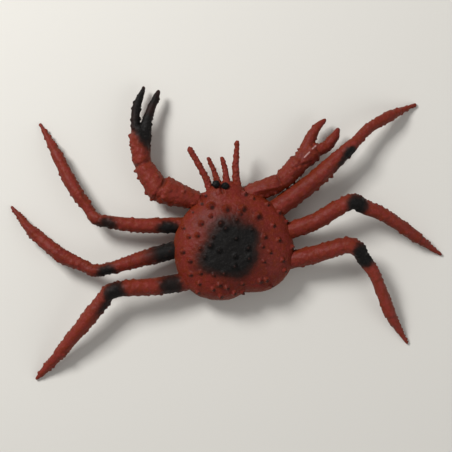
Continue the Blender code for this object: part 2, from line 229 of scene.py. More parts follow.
def wartTree(name, scattered):
    # Raises a soft cone of skin round each spot. Scattered: the spots are strewn over the carrier by a mask
    # on it. Otherwise they are the carrier's own points, which hold their sizes.
    sockets = {"Carrier": "Object", "Reach": "Float", "Height": "Float", "Roundness": "Float"}
    if scattered:
        sockets.update({"Mask": "String", "Spacing": "Float", "Size Spread": "Float", "Seed": "Int"})
    tree, given = startTree(name, sockets)
    carrier = addNode(tree, "GeometryNodeObjectInfo", {"transform_space": "ORIGINAL"},
                      {"Object": given["Carrier"]}).outputs["Geometry"]
    if scattered:
        mask = addNode(tree, "GeometryNodeInputNamedAttribute", {"data_type": "FLOAT"},
                       {"Name": given["Mask"]}).outputs["Attribute"]
        spots = addNode(tree, "GeometryNodeDistributePointsOnFaces",
                        {"distribute_method": "POISSON", "Density Max": mostSpots},
                        {"Mesh": carrier, "Distance Min": given["Spacing"], "Seed": given["Seed"],
                         "Density Factor": mask}).outputs["Points"]
        least, most = (
            addNode(tree, "ShaderNodeMath", {"operation": operation, 0: 1.0},
                    {1: given["Size Spread"]}).outputs[0]
            for operation in ("SUBTRACT", "ADD"))
        sizes = addNode(tree, "FunctionNodeRandomValue", {"data_type": "FLOAT"},
                        {2: least, 3: most, "Seed": given["Seed"]}).outputs[1]
    else:
        spots = addNode(tree, "GeometryNodeMeshToPoints", links={"Mesh": carrier}).outputs["Points"]
        sizes = addNode(tree, "GeometryNodeInputNamedAttribute",
                        {"data_type": "FLOAT", "Name": "size"}).outputs["Attribute"]
    place = addNode(tree, "GeometryNodeInputPosition").outputs["Position"]
    nearest = addNode(tree, "GeometryNodeSampleNearest",
                      links={"Geometry": spots, "Sample Position": place}).outputs["Index"]
    centre = addNode(tree, "GeometryNodeSampleIndex", {"data_type": "FLOAT_VECTOR"},
                     {"Geometry": spots, "Value": place, "Index": nearest}).outputs["Value"]
    size = addNode(tree, "GeometryNodeSampleIndex", {"data_type": "FLOAT"},
                   {"Geometry": spots, "Value": sizes, "Index": nearest}).outputs["Value"]
    away = addNode(tree, "ShaderNodeVectorMath", {"operation": "DISTANCE"},
                   {0: place, 1: centre}).outputs["Value"]
    reach, tall = (
        addNode(tree, "ShaderNodeMath", {"operation": "MULTIPLY"}, {0: given[label], 1: size}).outputs[0]
        for label in ("Reach", "Height"))
    inward = addNode(tree, "ShaderNodeMapRange", {"To Min": 1.0, "To Max": 0.0},
                     {"Value": away, "From Max": reach}).outputs["Result"]
    dome = addNode(tree, "ShaderNodeMapRange", {"interpolation_type": "SMOOTHSTEP"}, {"Value": inward})
    cone = addNode(tree, "ShaderNodeMath", {"operation": "POWER", 1: coneSharpness}, {0: inward})
    profile = addNode(tree, "ShaderNodeMix", {"data_type": "FLOAT"},
                      {"Factor": given["Roundness"], 2: cone.outputs[0], 3: dome.outputs["Result"]})
    rise = addNode(tree, "ShaderNodeMath", {"operation": "MULTIPLY"}, {0: tall, 1: profile.outputs[0]})
    pushOut(tree, given, rise.outputs[0])
    return tree


def unevenTree(name):
    # Slow swellings and finer lumps of a hand-made mould
    tree, given = startTree(name, {"Coarse": "Float", "Coarse Size": "Float", "Fine": "Float",
                                   "Fine Size": "Float", "Seed": "Float"})
    pushes = []
    for label in ("Coarse", "Fine"):
        scale = addNode(tree, "ShaderNodeMath", {"operation": "DIVIDE", 0: 1.0}, {1: given[label + " Size"]})
        waves = addNode(tree, "ShaderNodeTexNoise", {"noise_dimensions": "4D", "Detail": 1.0},
                        {"Scale": scale.outputs[0], "W": given["Seed"]})
        centred = addNode(tree, "ShaderNodeMapRange", {"To Min": -2.0, "To Max": 2.0},
                          {"Value": waves.outputs["Fac"]})
        pushes.append(addNode(tree, "ShaderNodeMath", {"operation": "MULTIPLY"},
                              {0: centred.outputs["Result"], 1: given[label]}).outputs[0])
    both = addNode(tree, "ShaderNodeMath", {"operation": "ADD"}, {0: pushes[0], 1: pushes[1]})
    pushOut(tree, given, both.outputs[0])
    return tree


scatterWarts = wartTree("scatterWarts", True)
placeWarts = wartTree("placeWarts", False)
unevenSkin = unevenTree("unevenSkin")


def applyTree(piece, tree, inputs):
    # The tree's result becomes the piece's plain mesh.
    modifier = piece.modifiers.new(tree.name, "NODES")
    modifier.node_group = tree
    values = dict(inputs, Material=rubber)
    for item in tree.interface.items_tree:
        if item.in_out == "INPUT" and item.name in values:
            modifier[item.identifier] = values[item.name]
    mesh = bpy.data.meshes.new_from_object(piece.evaluated_get(bpy.context.evaluated_depsgraph_get()))
    piece.modifiers.remove(modifier)
    piece.data = mesh


# Shapes

def addObject(name, mesh):
    piece = bpy.data.objects.new(name, mesh)
    bpy.context.scene.collection.objects.link(piece)
    return piece


def meshFrom(shape, name):
    mesh = bpy.data.meshes.new(name)
    shape.to_mesh(mesh)
    shape.free()
    return mesh


def joined(meshes, name):
    shape = bmesh.new()
    for mesh in meshes:
        shape.from_mesh(mesh)
    return meshFrom(shape, name)


def smoothPath(stations, count):
    # Catmull-Rom curve through stations of x, y, z and radius, read at even steps
    rows = [Vector(row) for row in stations]
    rows.insert(0, rows[0] * 2 - rows[1])
    rows.append(rows[-1] * 2 - rows[-2])
    spans = len(rows) - 3
    path = []
    for step in range(count):
        along = step / (count - 1) * spans
        span = min(int(along), spans - 1)
        t = along - span
        a, b, c, d = rows[span:span + 4]
        path.append(0.5 * (2 * b + (c - a) * t + (2 * a - 5 * b + 4 * c - d) * t ** 2
                           + (3 * b - a - 3 * c + d) * t ** 3))
    return path


def directions(path):
    # Forward, sideways and up at each row of a path
    found = []
    for number in range(len(path)):
        before = path[max(number - 1, 0)].to_3d()
        after = path[min(number + 1, len(path) - 1)].to_3d()
        forward = (after - before).normalized()
        side = forward.cross(Vector((0, 0, 1))).normalized()
        found.append((forward, side, side.cross(forward)))
    return found


def travelled(path):
    # Millimetres from the root to each row
    total = [0.0]
    for before, after in zip(path, path[1:]):
        total.append(total[-1] + (after - before).to_3d().length)
    return total


def loft(path, sides, section, masks, capSteps=4):
    # Rings along a path with rounded ends. section(share, angle) scales the radius,
    # masks holds functions of share and angle whose values are stored on the mesh.
    shape = bmesh.new()
    layers = {name: shape.verts.layers.float.new(name) for name in masks}
    lengths = travelled(path)
    ways = directions(path)
    turns = [math.radians(90 * (cap / (capSteps + 1))) for cap in range(1, capSteps + 1)]
    rings = [(0, -math.sin(turn), math.cos(turn)) for turn in reversed(turns)]
    rings += [(number, 0.0, 1.0) for number in range(len(path))]
    rings += [(len(path) - 1, math.sin(turn), math.cos(turn)) for turn in turns]
    loops = []
    for number, shift, shrink in rings:
        row = path[number]
        forward, side, up = ways[number]
        share = lengths[number] / lengths[-1]
        centre = row.to_3d() + forward * row[3] * shift
        loop = []
        for step in range(sides):
            angle = 2 * math.pi * step / sides
            radius = row[3] * shrink * section(share, angle)
            vertex = shape.verts.new(centre + (side * math.cos(angle) + up * math.sin(angle)) * radius)
            for name, mask in masks.items():
                vertex[layers[name]] = mask(share, angle)
            loop.append(vertex)
        loops.append(loop)
    for first, second in zip(loops, loops[1:]):
        for step in range(sides):
            after = (step + 1) % sides
            shape.faces.new((first[step], first[after], second[after], second[step]))
    shape.faces.new(loops[0][::-1])
    shape.faces.new(loops[-1])
    bmesh.ops.recalc_face_normals(shape, faces=shape.faces)
    return shape


def mould(name, meshes, voxel, rounds):
    # Fuses overlapping closed meshes into one skin, with the soft edges of a cast piece.
    piece = addObject(name, joined(meshes, name))
    skin = piece.modifiers.new("skin", "REMESH")
    skin.mode = "VOXEL"
    skin.voxel_size = voxel
    soften = piece.modifiers.new("soften", "SMOOTH")
    soften.factor = 0.5
    soften.iterations = rounds
    fused = bpy.data.meshes.new_from_object(piece.evaluated_get(bpy.context.evaluated_depsgraph_get()))
    piece.modifiers.clear()
    piece.data = fused
    return piece


def points(mesh):
    found = np.zeros(len(mesh.vertices) * 3)
    mesh.vertices.foreach_get("co", found)
    return found.reshape(-1, 3)


def normals(mesh):
    found = np.zeros(len(mesh.vertices) * 3, np.float32)
    mesh.vertices.foreach_get("normal", found)
    return found.reshape(-1, 3).astype(float)


def movePoints(mesh, where):
    mesh.vertices.foreach_set("co", where.ravel())
    mesh.update()


def store(mesh, name, values):
    layer = mesh.attributes.new(name, "FLOAT", "POINT")
    layer.data.foreach_set("value", np.clip(values, 0, 1).astype(np.float32))


def neighbourMean(mesh, where, rounds, share=None):
    # Each point drawn to the mean of its neighbours, wholly or by its share
    edges = np.zeros(len(mesh.edges) * 2, np.int32)
    mesh.edges.foreach_get("vertices", edges)
    a, b = edges.reshape(-1, 2).T
    ends, others = np.concatenate((a, b)), np.concatenate((b, a))
    count = np.bincount(ends, minlength=len(where))
    where = where.copy()
    for _ in range(rounds):
        mean = np.stack([np.bincount(ends, where[others, axis], len(where)) / count for axis in range(3)], 1)
        where = mean if share is None else where + (mean - where) * share[:, None]
    return where


def relief(mesh, rounds=6):
    # How far each point stands out of (or lies below) its surroundings, in millimetres.
    where = points(mesh)
    return ((where - neighbourMean(mesh, where, rounds)) * normals(mesh)).sum(1)


def smoothStep(low, high, value):
    t = np.clip((value - low) / (high - low), 0, 1)
    return t * t * (3 - 2 * t)


def bell(distance, width):
    # 1 at no distance, fading over the width
    return np.exp(-(distance / width) ** 2)


def wavering(where, size, seed):
    # Slow noise from -1 to 1 at each point, elsewhere in the noise for each seed
    shift = Vector((seed * 7.3, seed * 3.1, seed * 5.7))
    return np.array([noise.noise(Vector(point) / size + shift) for point in where])


def fromLine(where, stroke):
    # Distance in plan from the line of a stroke, which starts with its two ends
    start, along = np.array(stroke[:2]), np.subtract(stroke[2:4], stroke[:2])
    share = np.clip((where[:, :2] - start) @ along / max(along @ along, 1e-9), 0, 1)
    return np.linalg.norm(where[:, :2] - start - share[:, None] * along, axis=1)


upperSide = {"strokes": (-0.2, 0.4), "spots": -0.1}     # how far up the skin faces


def drawStrokes(piece, strokes):
    # Ridges and creases on the upper side: two ends in plan, width and height, below zero for a crease.
    mesh = piece.data
    where, facing = points(mesh), normals(mesh)
    push = np.zeros(len(where))
    for stroke in strokes:
        push += stroke[5] * bell(fromLine(where, stroke), stroke[4])
    movePoints(mesh, where + facing * (push * smoothStep(*upperSide["strokes"], facing[:, 2]))[:, None])


def spotCarrier(piece, spots):
    # Points on the piece's upper skin, each nearest to a spot of x, y and size
    where, facing = points(piece.data), normals(piece.data)
    where = where[facing[:, 2] > upperSide["spots"]]
    found = [where[np.hypot(where[:, 0] - x, where[:, 1] - y).argmin()] for x, y, _ in spots]
    mesh = bpy.data.meshes.new("spots")
    mesh.from_pydata(found, [], [])
    mesh.attributes.new("size", "FLOAT", "POINT").data.foreach_set("value", [size for _, _, size in spots])
    return addObject("spots", mesh)


def growScattered(piece, carrierMesh, shapes):
    carrier = addObject("carrier", carrierMesh)
    for shape in shapes:
        applyTree(piece, scatterWarts, dict(shape, Carrier=carrier))
    bpy.data.objects.remove(carrier)


def growSpots(piece, spots, shape):
    if spots:
        carrier = spotCarrier(piece, spots)
        applyTree(piece, placeWarts, dict(shape, Carrier=carrier))
        bpy.data.objects.remove(carrier)


# The edge of the spray strays by slow waves and small ripples, and fades as the skin turns down
sprayEdge = {"waveSize": 6.0, "wave": 1.3, "rippleSize": 2.2, "ripple": 0.8, "facing": (-0.55, 0.15)}


def sprayed(where, facing, spots, seed):
    # Airbrushed spots seen from above: x, y, half width, half length, turn in degrees, strength, feather
    left = np.ones(len(where))
    stray = wavering(where, sprayEdge["waveSize"], seed) * sprayEdge["wave"]
    stray += wavering(where, sprayEdge["rippleSize"], seed + 1) * sprayEdge["ripple"]
    for x, y, width, length, turn, strength, feather in spots:
        angle = math.radians(turn)
        dx, dy = where[:, 0] - x, where[:, 1] - y
        across = (dx * math.cos(angle) + dy * math.sin(angle)) / width
        along = (dy * math.cos(angle) - dx * math.sin(angle)) / length
        beyond = (np.sqrt(across ** 2 + along ** 2) - 1) * min(width, length) + stray
        left *= 1 - strength * (1 - smoothStep(-feather, feather, beyond))
    return (1 - left) * smoothStep(*sprayEdge["facing"], facing[:, 2])


skinShape = {"Coarse": 0.2, "Coarse Size": 4.2, "Fine": 0.1, "Fine Size": 1.5}
# Tips and the painted crease shade by how far they stand out or lie back, the painted side light and shade
# on the flanks by how far they face up.
# Paint wears off the tips, most where it is thin.
skinLook = {"tip": (0.15, 0.45), "creaseShade": (0.04, 0.2), "paintedSideLight": (0.85, 0.1),
            "thinWear": 0.65, "thickWear": 0.3, "seamGlintEdge": (1.3, 0.6)}
# Painted shade on the side of each wart away from the key light, laid into the black spray: its shift from
# the wart's middle, reach and strength
wartShadeLook = {"shift": (-0.8, 1.1), "reach": 1.9, "edge": (1.0, 0.2), "strength": 0.44}


def settle(piece):
    # From millimetres to metres, and into its place in the frame
    piece.data.transform(Matrix.Scale(mm, 4))
    piece.data.shade_smooth()
    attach(piece, "root")
    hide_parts("crab")
    print(piece.name, len(piece.data.polygons) * 2, "triangles")


def finishPiece(piece, seed, thin, spray=(), seamGlints=(), wartShades=()):
    # Uneven skin, nothing below the ground, and the masks for the shader
    applyTree(piece, unevenSkin, dict(skinShape, Seed=float(seed)))
    mesh = piece.data
    where, facing = points(mesh), normals(mesh)
    where[:, 2] = np.maximum(where[:, 2], 0.0)
    movePoints(mesh, where)
    height = relief(mesh)
    tip = smoothStep(*skinLook["tip"], height)
    sprayAndWartShade = sprayed(where, facing, spray, seed) if spray else np.zeros(len(where))
    sprayAndWartShade *= 1 - tip * (skinLook["thinWear"] + (skinLook["thickWear"] - skinLook["thinWear"]) * sprayAndWartShade)
    # painted shade: a dark spot on the side of each wart away from the light, put into the spray mask
    for x, y, size in wartShades:
        away = np.hypot(where[:, 0] - x - wartShadeLook["shift"][0], where[:, 1] - y - wartShadeLook["shift"][1])
        wartShade = wartShadeLook["strength"] * smoothStep(*wartShadeLook["edge"], away / wartShadeLook["reach"] / size)
        sprayAndWartShade = np.maximum(sprayAndWartShade, wartShade * (facing[:, 2] > 0))
    # painted highlight: a pale glint along each seam ridge, on upward faces only
    pale = np.zeros(len(where))
    for seamGlint in seamGlints:
        away = fromLine(where, seamGlint) / seamGlint[4]
        pale = np.maximum(pale, seamGlint[5] * smoothStep(*skinLook["seamGlintEdge"], away))
    store(mesh, "sprayAndWartShade", sprayAndWartShade)
    # painted light and shade: flanks turn browner and darker by how little they face up
    store(mesh, "paintedSideLight", smoothStep(*skinLook["paintedSideLight"], facing[:, 2]))
    # painted light: the part's colour made brighter where it catches more light
    store(mesh, "thin", np.full(len(where), thin))
    store(mesh, "thorn", tip)
    # painted shade: darker where the skin lies back in a crease
    store(mesh, "creaseShade", smoothStep(*skinLook["creaseShade"], -height))
    store(mesh, "pale", pale * (facing[:, 2] > 0))
    settle(piece)


# Shell with head and underside

# front and rear: how far the rim reaches, and the power of its curve
shell = {
    "halfWidth": 38.3, "front": (35.5, 2.0), "rear": (33.3, 2.6),
    "domeTop": 29.5, "rimHeight": 12.5, "bellyDepth": 14.5,
    "domeFullness": 0.86, "bellyFullness": 0.62, "rearNotchDepth": 2.2, "rearNotchAngle": 0.16,
    "rearSlack": {"azimuth": -2.95, "angle": 0.2, "depth": 1.5},
    "regions": ((0.0, -13.0, 12.0, 1.6), (17.0, 10.0, 11.0, 1.5), (0.0, 15.0, 7.0, 1.0)),
    "headCentre": (-0.6, -31.5, 15.0), "headHalfSize": (14.0, 11.0, 8.6),
    "blendCentre": (-0.6, -29.0), "blendReach": 17.0, "blendEdge": (0.6, 1.0),
    "blendHeight": (8.0, 14.0), "blendRounds": 60,
    "segments": 220, "headSegments": 48, "voxel": 0.42, "softening": 2, "thin": 0.0, "seed": 3,
    "strokes": ((0.3, -39.5, 0.1, -34.7, 0.9, -1.1), (2.8, -34.8, 1.8, -37.5, 1.1, 0.5),
                (-2.0, -34.0, -1.4, -36.8, 1.1, 0.5)),
    "spray": ((0.7, 0.4, 11.2, 15.4, 6.0, 1.0, 6.0), (0.4, 6.0, 11.2, 9.0, 0.0, 0.9, 6.0),
              (11.5, 4.5, 8.0, 8.0, 0.0, 0.95, 6.0), (0.5, -0.5, 20.5, 24.0, 0.0, 0.34, 7.0),
              (18.0, 6.0, 9.0, 7.0, 0.0, 0.35, 5.0), (-11.3, -5.5, 4.5, 5.0, 0.0, 0.8, 4.0)),
}
shellWarts = {"Reach": 2.8, "Height": 2.9, "Roundness": 0.25}
wartDraw = {"stray": 0.5, "sizes": (0.62, 0.98), "big": 1.25, "seed": 5}
# Rows from head to tail: y of the row, then x of each wart, the crab's left side positive
wartRows = (
    (-36.0, (11.5,)),
    (-31.5, (14.5, -13.0)),
    (-27.5, (21.5, 9.0, -18.0)),
    (-24.5, (0.0,)),
    (-22.0, (10.5, -10.5, -26.5)),
    (-18.5, (28.5, 16.5)),
    (-16.0, (5.0, -5.5, -18.5, -32.0)),
    (-12.0, (27.0, 21.0, 2.5)),
    (-8.5, (11.0, -13.5, -27.5, -35.5)),
    (-3.0, (31.5, 20.0, 14.0, -20.0)),
    (1.0, (8.5, -28.5)),
    (3.5, (28.0, 18.5, -17.5)),
    (7.0, (-22.0, -36.0)),
    (12.0, (30.0, 23.0, -16.5)),
    (14.5, (15.5, 9.0, -29.0)),
    (18.0, (26.0,)),
    (21.0, (13.5, -29.5)),
    (24.0, (27.5, 18.0, 8.5, -1.0, -12.0, -16.0)),
    (28.5, (5.0, -19.0)),
    (28.9, (14.0, 0.0)),
    # Those in the black patch, and one before it
    (-19.2, (-8.2,)),
    (-5.2, (-2.6,)),
    (2.5, (-9.2,)),
    (5.8, (-0.2,)),
    (9.0, (-8.6,)),
    (11.8, (1.0,)),
)
bigWarts = ((0.0, -24.5), (-10.5, -22.0), (9.0, -27.5), (-18.5, -16.0))
belly = {
    "flapFront": -8.0, "flapRear": 33.0, "flapWidth": 10.5, "flapTaper": 1.1, "flapRoundness": 0.62,
    "segment": 5.6, "segmentBow": 0.03, "segmentDepth": 0.55, "segmentWidth": 0.7,
    "edgeDepth": 1.0, "edgeWidth": 0.9, "plateDepth": 0.45, "grooveDepth": 0.8, "grooveWidth": 0.9,
    "legGrooves": (-17.0, -7.5, 3.0, 12.5, 21.0), "grooveFan": 0.012, "fanCentre": 14.0,
    "mouth": (-31.0, -13.0, 8.5), "mouthLine": 9.5, "mouthBow": 0.35, "mouthSeam": 0.8,
    "bowStrength": 0.7, "plateEdge": (0.0, 1.5), "segmentEdge": (0.3, -0.8), "grooveEdge": (1.5, 3.5),
    "mouthEdge": (0.5, -0.5), "facing": (0.25, 0.6),
}


def shellReach(azimuth):
    sideways, forward = abs(math.sin(azimuth)), math.cos(azimuth)
    length, power = shell["front"] if forward > 0 else shell["rear"]
    total = (sideways / shell["halfWidth"]) ** power + (abs(forward) / length) ** power
    slack = shell["rearSlack"]
    pulledIn = shell["rearNotchDepth"] * bell(math.pi - abs(azimuth), shell["rearNotchAngle"])
    pulledIn += slack["depth"] * bell(azimuth - slack["azimuth"], slack["angle"])
    return total ** (-1 / power) - pulledIn


def shellPoint(azimuth, elevation):
    fullness = shell["domeFullness"] if elevation > 0 else shell["bellyFullness"]
    ring = max(math.cos(elevation), 0.0) ** fullness
    rise = abs(math.sin(elevation)) ** fullness
    x = shellReach(azimuth) * ring * math.sin(azimuth)
    y = -shellReach(azimuth) * ring * math.cos(azimuth)
    if elevation <= 0:
        return Vector((x, y, max(shell["rimHeight"] - shell["bellyDepth"] * rise, 0.0)))
    top = shell["domeTop"] - shell["rimHeight"]
    for sideX, middleY, width, height in shell["regions"]:
        top += height * math.exp(-((abs(x) - sideX) ** 2 + (y - middleY) ** 2) / width ** 2)
    return Vector((x, y, shell["rimHeight"] + top * rise))


def ball(centre, halfSize, segments):
    shape = bmesh.new()
    bmesh.ops.create_uvsphere(shape, u_segments=segments, v_segments=segments // 2, radius=1.0)
    place = Matrix.Translation(Vector(centre)) @ Matrix.Diagonal(Vector(halfSize)).to_4x4()
    bmesh.ops.transform(shape, matrix=place, verts=shape.verts)
    return meshFrom(shape, "ball")


def shellBody():
    mesh = ball((0.0, 0.0, 0.0), (1.0, 1.0, 1.0), shell["segments"])
    for vertex in mesh.vertices:
        azimuth = math.atan2(vertex.co.x, -vertex.co.y)
        vertex.co = shellPoint(azimuth, math.asin(max(-1.0, min(1.0, vertex.co.z))))
    return mesh


def blendHead(piece):
    # Shell and head run into each other without a seam, so the crease between them is filled.
    where = points(piece.data)
    away = np.hypot(where[:, 0] - shell["blendCentre"][0], where[:, 1] - shell["blendCentre"][1])
    share = 1 - smoothStep(*shell["blendEdge"], away / shell["blendReach"])
    share *= smoothStep(*shell["blendHeight"], where[:, 2])
    movePoints(piece.data, neighbourMean(piece.data, where, shell["blendRounds"], share))


def carveBelly(piece):
    # Folded tail flap with its segments, breast plates between the legs, and the mouth plates.
    mesh = piece.data
    where, facing = points(mesh), normals(mesh)
    x, y = np.abs(where[:, 0]), where[:, 1]
    along = np.clip((y - belly["flapFront"]) / (belly["flapRear"] - belly["flapFront"]), 0, 1)
    taper = belly["flapTaper"]
    flapEdge = belly["flapWidth"] * (along * (1 + taper - taper * along)) ** belly["flapRoundness"]
    beyond = np.where(y < belly["flapFront"], np.hypot(x, y - belly["flapFront"]), x - flapEdge)
    depth = belly["edgeDepth"] * bell(beyond, belly["edgeWidth"])
    depth += belly["plateDepth"] * smoothStep(*belly["plateEdge"], beyond)
    phase = (y + belly["segmentBow"] * x ** 2) / belly["segment"]
    ring = bell((phase - np.round(phase)) * belly["segment"], belly["segmentWidth"])
    depth += belly["segmentDepth"] * ring * smoothStep(*belly["segmentEdge"], beyond)
    for grooveY in belly["legGrooves"]:
        fromGroove = y - grooveY * (1 + (x - belly["fanCentre"]) * belly["grooveFan"])
        groove = bell(fromGroove, belly["grooveWidth"]) * smoothStep(*belly["grooveEdge"], beyond)
        depth += belly["grooveDepth"] * groove
    front, back, half = belly["mouth"]
    outside = np.maximum.reduce([x - half, front - y, y - back])
    depth += belly["grooveDepth"] * bell(outside, belly["grooveWidth"])
    inMouth = smoothStep(*belly["mouthEdge"], outside) * belly["grooveDepth"]
    depth += inMouth * bell(x, belly["mouthSeam"])
    fromBow = y - front - belly["mouthLine"] + belly["mouthBow"] * x
    depth += inMouth * belly["bowStrength"] * bell(fromBow, belly["mouthSeam"])
    movePoints(mesh, where - facing * (depth * smoothStep(*belly["facing"], -facing[:, 2]))[:, None])


def wartSpots():
    draw = random.Random(wartDraw["seed"])
    spots = []
    for rowY, offsets in wartRows:
        for offset in offsets:
            x = offset + draw.uniform(-wartDraw["stray"], wartDraw["stray"])
            y = rowY + draw.uniform(-wartDraw["stray"], wartDraw["stray"])
            size = draw.uniform(*wartDraw["sizes"])
            spots.append((x, y, wartDraw["big"] if (offset, rowY) in bigWarts else size))
    return spots


def buildShell():
    head = ball(shell["headCentre"], shell["headHalfSize"], shell["headSegments"])
    piece = mould("shell", [shellBody(), head], shell["voxel"], shell["softening"])
    blendHead(piece)
    carveBelly(piece)
    drawStrokes(piece, shell["strokes"])
    growSpots(piece, wartSpots(), shellWarts)
    # the shell's warts also get painted shade on their side away from the light
    finishPiece(piece, shell["seed"], shell["thin"], shell["spray"], wartShades=wartSpots())


buildShell()


# Legs

# What every leg shares. Places along it are shares of its length, counted from its ankle or its knee.
# neck: how far down the shin its start radius holds. measuredAt: the rows its length is measured at
legShape = {
    "sides": 60, "ring": 0.4, "measuredAt": 60, "neck": 0.4, "rootHeight": 11.0, "ankleHeight": 8.0,
    "arch": 1.0, "tipLift": 0.3, "ridge": 0.03, "collar": 0.06, "collarPlace": -0.022, "collarWidth": 0.02,
    "toeStep": 0.14, "toeFade": 0.07, "stepWidth": 0.008, "kneeGroove": 0.06, "grooveFromKnee": 0.045,
    "bend": (0.7, 0.08), "shinStart": (-0.05, 0.1), "toothlessRoot": 0.1, "pebbles": (0.7, 0.2),
}
# points: root, knee, ankle and tip in plan. The bows bend thigh and shin between them.
# radii: at the root, the end of the thigh, the start and middle of the shin, ankle, middle of the toe, tip
# The painted brightening: how much brighter the colour is painted where the part catches more light, on the
# thigh and on the shin
# bend: how far down the thigh the knee's bend starts, and how far down the shin it ends
# teeth: how thickly the edges are toothed, on the thigh's first and second edge, then on the shin's.
# The first edge of a left leg faces the head, that of a right leg the tail.
legs = {
    "leftFrontLeg": {
        "points": ((23.0, -18.4), (82.0, -32.5), (100.8, -81.5), (107.6, -101.3)),
        "kneeHeight": 16.0, "thighBow": 1.6, "shinBow": 1.8, "radii": (5.2, 3.9, 3.3, 4.0, 3.3, 2.05, 0.9),
        "thin": (0.35, 0.3), "teeth": (0.15, 0.9, 0.9, 0.25),
        "strokes": ((86.5, -42.0, 96.5, -76.0, 1.0, 0.35),),
        "spray": ((38.0, -18.8, 6.5, 4.4, -15.0, 1.0, 3.2), (76.0, -29.3, 6.0, 3.2, -14.0, 0.7, 3.0)),
    },
    "leftMiddleLeg": {
        "points": ((25.0, -5.8), (88.0, -0.6), (125.8, -34.8), (136.0, -52.0)),
        "kneeHeight": 16.5, "thighBow": -0.2, "shinBow": 3.2, "radii": (5.9, 3.6, 3.6, 4.4, 3.4, 2.1, 0.9),
        "thin": (0.05, 0.1), "teeth": (0.7, 0.7, 0.8, 0.6), "spikes": ((76.0, 2.2, 1.0),),
        "strokes": ((93.0, -6.5, 121.0, -31.0, 1.0, 0.3),),
        "spray": ((41.0, -4.5, 8.5, 8.0, 0.0, 0.82, 4.5), (50.0, -4.5, 8.0, 8.0, 0.0, 0.35, 5.0),
                  (82.0, 0.8, 5.0, 3.6, 0.0, 0.92, 3.4)),
    },
    "leftRearLeg": {
        "points": ((24.0, 16.6), (80.3, 11.9), (123.8, 47.2), (141.2, 60.0)),
        "kneeHeight": 20.0, "thighBow": 1.3, "shinBow": 0.0, "radii": (5.9, 5.1, 4.8, 4.6, 3.5, 2.9, 1.0),
        "thin": (0.4, 0.55), "teeth": (0.2, 0.35, 0.8, 0.8),
        "spray": ((43.5, 17.5, 7.0, 8.0, 0.0, 0.78, 5.0), (78.5, 14.5, 5.8, 6.5, 0.0, 0.9, 5.0),
                  (86.5, 21.5, 7.0, 3.2, 40.0, 0.65, 4.5)),
    },
    "rightFrontLeg": {
        "points": ((-27.0, -16.0), (-84.7, -47.5), (-116.8, -63.6), (-133.4, -67.6)),
        "kneeHeight": 17.0, "thighBow": 1.8, "shinBow": 2.3, "radii": (6.4, 4.8, 3.4, 3.2, 3.3, 2.0, 1.0),
        "thin": (0.15, 0.3), "teeth": (0.5, 0.3, 0.6, 0.5),
        "spikes": ((-73.0, -29.0, 1.3), (-70.0, -25.2, 1.2), (-62.0, -22.6, 1.3)),
        "strokes": ((-62.3, -29.5, -66.5, -34.0, 0.8, 0.35),),
        "spray": ((-84.7, -44.2, 4.5, 2.7, 30.0, 0.92, 2.4), (-79.0, -39.8, 6.5, 1.9, 42.0, 0.68, 2.2)),
    },
    "rightMiddleLeg": {
        "points": ((-28.0, -1.6), (-78.6, -14.4), (-118.0, 17.8), (-131.0, 31.0)),
        "kneeHeight": 21.5, "thighBow": 2.4, "shinBow": 2.0, "radii": (5.4, 5.0, 4.6, 4.1, 3.4, 2.1, 0.9),
        "thin": (0.35, 0.4), "teeth": (0.4, 0.4, 0.3, 0.9),
        "spray": ((-81.5, -10.5, 6.0, 6.5, 0.0, 0.96, 3.4),),
    },
    "rightRearLeg": {
        "points": ((-26.0, 15.8), (-75.5, 12.4), (-91.0, 62.5), (-98.8, 83.2)),
        "kneeHeight": 21.5, "thighBow": 0.8, "shinBow": 2.3, "radii": (5.8, 5.2, 4.3, 3.6, 3.7, 2.3, 0.9),
        "thin": (0.25, 0.9), "bend": (0.78, 0.2), "teeth": (0.3, 0.3, 0.1, 0.95),
        "spray": ((-80.0, 20.8, 6.3, 7.6, 8.0, 0.96, 3.4),),
    },
}
toothShape = {
    "Mask": "teeth", "Spacing": 1.8, "Reach": 1.35, "Height": 0.66, "Roundness": 0.5, "Size Spread": 0.45,
}
pebbleShape = {
    "Mask": "pebbles", "Spacing": 3.0, "Reach": 2.0, "Height": 0.36, "Roundness": 1.0, "Size Spread": 0.45,
}
spikeShape = {"Reach": 1.9, "Height": 0.95, "Roundness": 0.5}
knobShape = {"Reach": 2.6, "Height": 0.85, "Roundness": 0.85}


def legPath(leg):
    root, knee, ankle, tip = (Vector(point) for point in leg["points"])
    shin = ankle - knee
    outward = Vector((shin.y, -shin.x)).normalized()
    if outward.dot(knee - root) < 0:
        outward = -outward
    middle = knee.lerp(ankle, 0.5) + outward * leg["shinBow"]
    thigh = root.lerp(knee, 0.5) + Vector((0.0, leg["thighBow"]))
    radius, kneeHeight = leg["radii"], leg["kneeHeight"]
    bend = leg.get("bend", legShape["bend"])
    thighHeight = (legShape["rootHeight"] + kneeHeight) / 2 + legShape["arch"]
    shinHeight = (kneeHeight + legShape["ankleHeight"]) / 2 + legShape["arch"]
    stations = (
        (*root, legShape["rootHeight"], radius[0]),
        (*thigh, thighHeight, (radius[0] + radius[1]) / 2),
        (*thigh.lerp(knee, bend[0]), kneeHeight, radius[1]),
        (*knee.lerp(middle, bend[1]), kneeHeight, (radius[1] + radius[2]) / 2),
        (*knee.lerp(middle, legShape["neck"]), (kneeHeight + shinHeight) / 2, radius[2]),
        (*middle, shinHeight, radius[3]),
        (*ankle, legShape["ankleHeight"], radius[4]),
        (*ankle.lerp(tip, 0.5), legShape["ankleHeight"] / 2, radius[5]),
        (*tip, radius[6] + legShape["tipLift"], radius[6]),
    )
    length = travelled(smoothPath(stations, legShape["measuredAt"]))[-1]
    return smoothPath(stations, round(length / legShape["ring"]))


